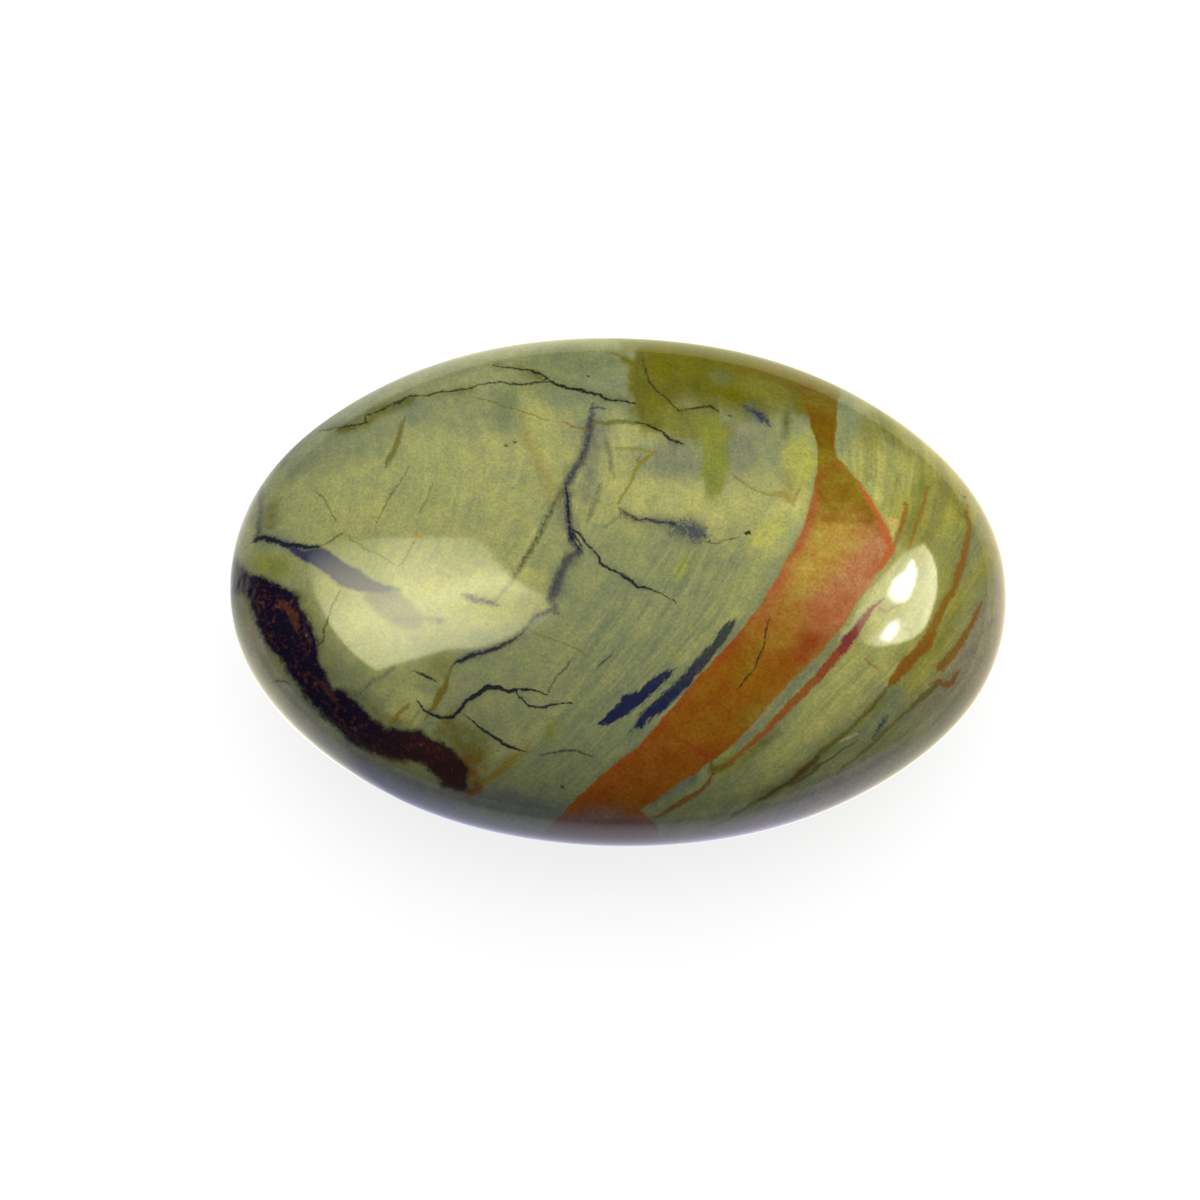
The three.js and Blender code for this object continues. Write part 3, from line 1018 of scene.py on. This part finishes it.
# The share of a line family that covers a place: the half width, made ragged by noise, less the
# distance, pushed about by noise, on a soft step
def lineCover(tree, name, wobble, ragged, soft):
    offset, reach, strength = split(tree, attribute(tree, name, "Vector"))
    gap = calculate(tree, "ABSOLUTE", calculate(tree, "ADD", offset, wobble))
    inside = calculate(tree, "SUBTRACT", calculate(tree, "ADD", reach, ragged), gap)
    return calculate(tree, "MULTIPLY", ramp(tree, inside, -soft, soft), strength)


def featherColour(tree, rock):
    along = split(tree, attribute(tree, "layers", "Vector"))[1]
    along = calculate(tree, "ADD", along, swing(tree, rock["fine"], feathers["mixed"]))
    share = ramp(tree, along, *feathers["greyAlong"])
    return mixColour(tree, share, rgba(feathers["navy"]), rgba(feathers["grey"]))


def seamColour(tree, rock):
    across = split(tree, attribute(tree, "layers", "Vector"))[0]
    share = ramp(tree, across, *seam["umberAcross"])
    colour = mixColour(tree, share, rgba(seam["black"]), rgba(seam["umber"]))
    middle = ramp(tree, attribute(tree, "seam", "Fac"), *seam["middle"])
    patches = calculate(tree, "MULTIPLY", ramp(tree, rock["cloud"], *seam["patches"]), middle)
    grains = calculate(tree, "MULTIPLY_ADD", patches, seam["patchPush"], rock["seamGrain"])
    for tone, low, high, top in seam["grains"]:
        colour = mixColour(tree, ramp(tree, grains, low, high, top), colour, rgba(tone))
    return colour


# The streaked ground, the areas over it, the lines over them, and a grain that makes every colour a
# little lighter or darker
def makeJasper():
    material = bpy.data.materials.new("jasper")
    tree = emptyTree(material)
    rock = rockNoises(tree)
    ground = tinted(tree, attribute(tree, "groundTone"), rock, "ground")
    streaked = tinted(tree, ground, rock, "streaks")
    colour = mixColour(tree, attribute(tree, "streaks", "Fac"), ground, streaked)
    areaTones = {
        "band": tinted(tree, attribute(tree, "bandTone"), rock, "band"),
        "slate": rgba(finish["slate"]),
        "smudge": rgba(finish["smudge"]),
        "feathers": featherColour(tree, rock),
        "seam": seamColour(tree, rock),
    }
    for name, tone in areaTones.items():
        colour = mixColour(tree, areaCover(tree, name, rock), colour, tone)
    wobble = swing(tree, rock["wobble"], finish["lineWobble"])
    for name, (soft, ragged) in lineEdges.items():
        cover = lineCover(tree, name, wobble, swing(tree, rock["fine"], ragged), soft)
        colour = mixColour(tree, cover, colour, attribute(tree, name + "Tone"))
    light = calculate(tree, "MULTIPLY_ADD", rock["grain"], finish["grain"] * 4, 1 - finish["grain"] * 2)
    grey = addNode(tree, "CombineColor", {0: light, 1: light, 2: light}).outputs[0]
    colour = mixColour(tree, 1, colour, grey, "MULTIPLY")

    inSeam = areaCover(tree, "seam", rock)
    rough = calculate(tree, "MULTIPLY_ADD", inSeam, finish["seamRoughness"], finish["roughness"])
    inputs = {"Base Color": colour, "Roughness": rough, "IOR": finish["refraction"], "Metallic": 0}
    shader = addNode(tree, "BsdfPrincipled", inputs)
    addNode(tree, "OutputMaterial", {"Surface": shader.outputs[0]})
    return material


palmStone.data.materials.append(makeJasper())
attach(palmStone, "root")
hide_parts("palm_stone")
print("jasper finished")


# A plain pale table, which mostly glows by itself, so that it stays even
tableLooks = {
    "reach": 4,
    "finish": {
        "Base Color": (0.22, 0.22, 0.22, 1),
        "Roughness": 0.9,
        "Specular IOR Level": 0.1,
        "Emission Color": (1, 1, 1, 1),
        "Emission Strength": 0.85,
    },
}


def makeTable():
    reach = tableLooks["reach"]
    corners = [(-reach, -reach, 0), (reach, -reach, 0), (reach, reach, 0), (-reach, reach, 0)]
    mesh = bpy.data.meshes.new("table")
    mesh.from_pydata(corners, [], [(0, 1, 2, 3)])
    material = bpy.data.materials.new("paleTable")
    tree = emptyTree(material)
    shader = addNode(tree, "BsdfPrincipled", tableLooks["finish"])
    addNode(tree, "OutputMaterial", {"Surface": shader.outputs[0]})
    mesh.materials.append(material)
    table = bpy.data.objects.new("table", mesh)
    table.visible_diffuse = False
    table.visible_glossy = False
    bpy.context.scene.collection.objects.link(table)


makeTable()

# Lit cards that only the polish shows: distance, tint, light in the middle, and corners. Each corner is
# a photo pixel and the light there: it is put where the stone turns the camera's line of sight from there.
cards = {
    "leftWindow": (0.6, (1, 0.98, 0.6), 9.5, [
        (304, 553, 0), (330, 543, 0.4), (362, 541, 1.2), (400, 541, 3.4), (440, 541, 3.4),
        (481, 541, 2.4), (500, 560, 4), (514, 575, 7.5), (541, 590, 4.6), (563, 606, 1),
        (545, 616, 3), (525, 629, 4.2), (503, 640, 5), (480, 648, 5.4), (454, 651, 6),
        (418, 659, 7), (389, 670, 6.5), (379, 674, 5.4), (369, 667, 5.6), (354, 657, 6),
        (342, 645, 6), (329, 627, 6.4), (322, 612, 5.4), (312, 590, 2.6)]),
    "rightWindow": (0.6, (1, 0.98, 0.66), 7, [
        (927, 545, 8), (935, 556, 12), (939, 572, 14), (939, 590, 14), (936, 608, 14), (929, 626, 12),
        (914, 638, 10), (898, 642, 11), (878, 645, 8), (860, 638, 2), (856, 612, 2.4),
        (868, 592, 3.6), (888, 572, 5), (905, 557, 6)]),
    "rightCoreA": (0.5, (1, 1, 0.9), 60, [
        (887, 592, 8), (894, 579, 14), (907, 573, 20), (915, 561, 20), (919, 570, 26), (916, 585, 20),
        (908, 599, 14), (895, 602, 10)]),
    "rightCoreB": (0.5, (1, 1, 0.9), 40, [
        (878, 638, 10), (884, 627, 6), (893, 618, 6), (903, 616, 10), (903, 626, 14), (893, 641, 14)]),
}

# The white sheet under the stone, as its rim mirrors it: bright near the stone, dimmer far off, and cut
# off at the back, so that the pale line round the top is thin. Directions are in degrees from the right
# towards the back of the picture.
sheet = {
    "height": -0.001,
    "rings": [0.01, 0.045, 0.1, 3.0],
    "backEdge": 0.068,
    "step": 7.5,
    "directions": [0, 45, 90, 110, 135, 150, 165, 180, 200, 225, 245, 270, 300, 330],
    "near": [
        (3, 2.5, 2), (1.25, 1.15, 0.7), (1, 1, 0.65), (1.4, 1.35, 1), (0.9, 0.9, 0.8),
        (0.4, 0.4, 0.4), (1.6, 1.6, 1.4), (0.9, 0.9, 0.9), (3, 2.9, 2.2), (0.9, 0.9, 1.3),
        (1.1, 1.1, 1.5), (1.2, 1.2, 1.4), (1.6, 1.5, 1.9), (2, 1.9, 1.4)],
    "far": [
        (1.3, 1.1, 0.7), (1, 0.9, 0.5), (0.6, 0.6, 0.2), (0.8, 0.8, 0.4), (0.6, 0.6, 0.5),
        (0.4, 0.4, 0.4), (0.6, 0.6, 0.5), (0.3, 0.28, 0.3), (0.7, 0.7, 0.6), (0.4, 0.42, 0.5),
        (0.35, 0.4, 0.55), (0.2, 0.2, 0.3), (0.5, 0.52, 0.6), (0.8, 0.8, 0.6)],
}


# The place a card's corner takes: the nearest seen point of the stone, the line of sight mirrored there
# in the outward direction, followed for the card's distance
def mirrored(pixelX, pixelY, shownX, shownY, distance):
    spot = points[np.argmin(np.hypot(shownX - pixelX, shownY - pixelY))]
    sight = spot - camera["place"]
    sight = sight / np.linalg.norm(sight)
    normal = outward(spot[None])[0]
    return spot + (sight - 2 * sight @ normal * normal) * distance


def makeCard(name, corners, glows, faces, material):
    mesh = bpy.data.meshes.new(name)
    mesh.from_pydata([tuple(corner) for corner in corners], [], faces)
    layer = mesh.attributes.new("glow", "FLOAT_VECTOR", "POINT")
    layer.data.foreach_set("vector", np.asarray(glows, np.float32).ravel())
    mesh.materials.append(material)
    card = bpy.data.objects.new(name, mesh)
    card.visible_camera = False
    card.visible_diffuse = False
    card.visible_shadow = False
    bpy.context.scene.collection.objects.link(card)


# Rings of points round the stone, joined by faces. The outer ones are cut off at the back edge.
def makeSheet(material):
    turns = np.arange(0, 360, sheet["step"])
    count = len(turns)
    away = np.sin(np.radians(turns))
    limit = np.full(count, sheet["rings"][-1], float)
    behind = away > sheet["backEdge"] / limit
    limit[behind] = sheet["backEdge"] / away[behind]
    corners, glows = [], []
    for ring, radius in enumerate(sheet["rings"]):
        reach = np.minimum(radius, limit)
        height = np.full(count, sheet["height"])
        corners.append(np.stack([reach * np.cos(np.radians(turns)), reach * away, height], 1))
        light = sheet["near"] if ring < 2 else sheet["far"]
        channels = [np.interp(turns, sheet["directions"], channel, period=360) for channel in zip(*light)]
        glows.append(np.stack(channels, 1))
    faces = []
    for start in range(0, count * (len(sheet["rings"]) - 1), count):
        for i in range(count):
            onward = (i + 1) % count
            faces.append((start + i, start + onward, start + onward + count, start + i + count))
    makeCard("sheet", np.concatenate(corners), np.concatenate(glows), faces, material)


def makeCards():
    shownX, shownY = toPhoto(points)
    seen = ((points - camera["place"]) * outward(points)).sum(1) < 0
    shownX = np.where(seen, shownX, farAway * 10)
    material = bpy.data.materials.new("litCard")
    tree = emptyTree(material)
    glow = addNode(tree, "Emission", {"Color": attribute(tree, "glow")})
    addNode(tree, "OutputMaterial", {"Surface": glow.outputs[0]})
    for name, (distance, tint, middleGlow, corners) in cards.items():
        places = np.array([mirrored(x, y, shownX, shownY, distance) for x, y, _ in corners])
        places = np.vstack([places, places.mean(0)])
        glows = np.outer([corner[2] for corner in corners] + [middleGlow], tint)
        count = len(corners)
        fan = [(i, (i + 1) % count, count) for i in range(count)]
        makeCard(name, places, glows, fan, material)
    makeSheet(material)


makeCards()


# The studio: a very soft light from above and behind, which the stone doesn't mirror, in a room that is
# dark above and a little lighter at the horizon and below
studio = {
    "tilt": 34,  # degrees from straight above, towards the back of the picture
    "turn": -8,
    "softness": 75,
    "strength": 3.6,
    "above": (0.03, 0.03, 0.032),
    "horizon": (0.12, 0.12, 0.09),
    "fade": (0.02, 0.25),  # from the horizon's colour to the one above, as the direction's height
}


def makeFill():
    light = bpy.data.lights.new("ceiling", "SUN")
    light.angle = math.radians(studio["softness"])
    light.energy = studio["strength"]
    lamp = bpy.data.objects.new("ceiling", light)
    lamp.rotation_euler = (-math.radians(studio["tilt"]), 0, math.radians(studio["turn"]))
    lamp.location = (0, 0, 0.5)
    lamp.visible_glossy = False
    bpy.context.scene.collection.objects.link(lamp)


makeFill()


def makeRoom():
    world = bpy.data.worlds.new("room")
    bpy.context.scene.world = world
    tree = emptyTree(world)
    up = split(tree, addNode(tree, "TexCoord").outputs["Generated"])[2]
    share = ramp(tree, up, *studio["fade"])
    colour = mixColour(tree, share, rgba(studio["horizon"]), rgba(studio["above"]))
    background = addNode(tree, "Background", {"Color": colour, "Strength": 1})
    addNode(tree, "OutputWorld", {"Surface": background.outputs[0]})


makeRoom()
bpy.context.scene.view_settings.view_transform = "Standard"
print("table, lights and room made")
